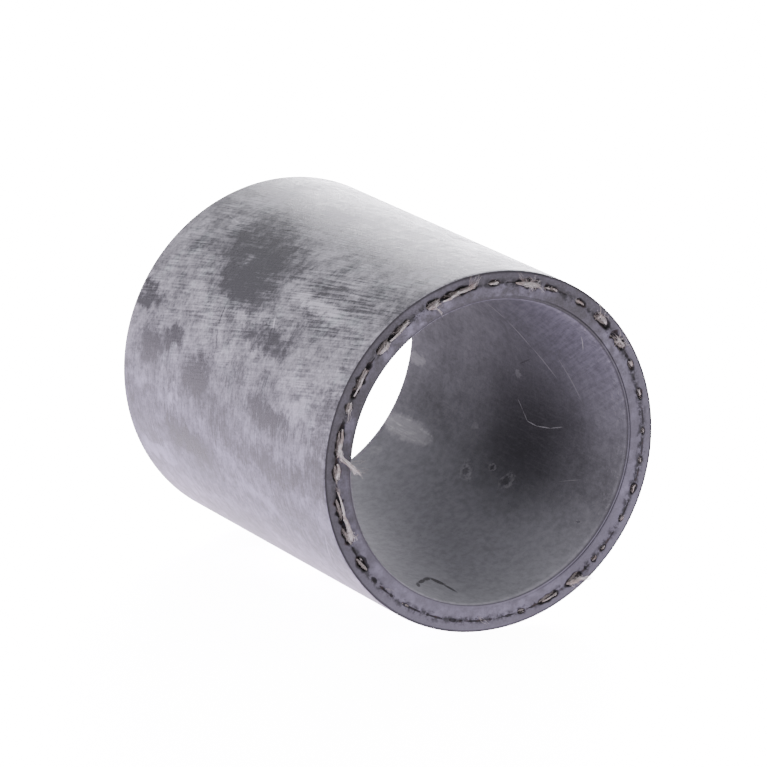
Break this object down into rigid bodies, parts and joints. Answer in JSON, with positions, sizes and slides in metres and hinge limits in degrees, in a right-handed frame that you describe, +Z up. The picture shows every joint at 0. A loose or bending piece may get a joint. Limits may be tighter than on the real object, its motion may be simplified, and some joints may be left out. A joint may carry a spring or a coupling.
{
  "type": "hose coupling sleeve",
  "caption": "Straight soft sleeve cut from textile-reinforced rubber hose: inner tube, crossed braid yarns and outer cover, open right through.",
  "frame": {"origin": "centre of the bore, halfway along the sleeve", "axes": "+Y along the bore axis, away from the cut end that faces the viewer; +Z up, with the sleeve lying on its side"},
  "size_m": [0.062, 0.075, 0.062],
  "materials": {
    "tube_rubber": "smooth dark grey rubber, satin, with a faint violet cast and fine rub marks",
    "cover_rubber": "dull grey rubber with a mottled whitish bloom, wiped darker patches and fine scratches",
    "braid_textile": "matt off-white staple yarn, frayed at the cut ends"
  },
  "bodies": {
    "root": {"inner_tube": "tube_rubber", "outer_cover": "cover_rubber", "right_hand_yarn_01": "braid_textile", "right_hand_yarn_02": "braid_textile", "right_hand_yarn_03": "braid_textile", "right_hand_yarn_04": "braid_textile", "right_hand_yarn_05": "braid_textile", "right_hand_yarn_06": "braid_textile", "right_hand_yarn_07": "braid_textile", "right_hand_yarn_08": "braid_textile", "right_hand_yarn_09": "braid_textile", "right_hand_yarn_10": "braid_textile", "right_hand_yarn_11": "braid_textile", "right_hand_yarn_12": "braid_textile", "right_hand_yarn_13": "braid_textile", "right_hand_yarn_14": "braid_textile", "right_hand_yarn_15": "braid_textile", "right_hand_yarn_16": "braid_textile", "left_hand_yarn_01": "braid_textile", "left_hand_yarn_02": "braid_textile", "left_hand_yarn_03": "braid_textile", "left_hand_yarn_04": "braid_textile", "left_hand_yarn_05": "braid_textile", "left_hand_yarn_06": "braid_textile", "left_hand_yarn_07": "braid_textile", "left_hand_yarn_08": "braid_textile", "left_hand_yarn_09": "braid_textile", "left_hand_yarn_10": "braid_textile", "left_hand_yarn_11": "braid_textile", "left_hand_yarn_12": "braid_textile", "left_hand_yarn_13": "braid_textile", "left_hand_yarn_14": "braid_textile", "left_hand_yarn_15": "braid_textile", "left_hand_yarn_16": "braid_textile"}
  },
  "joints": []
}
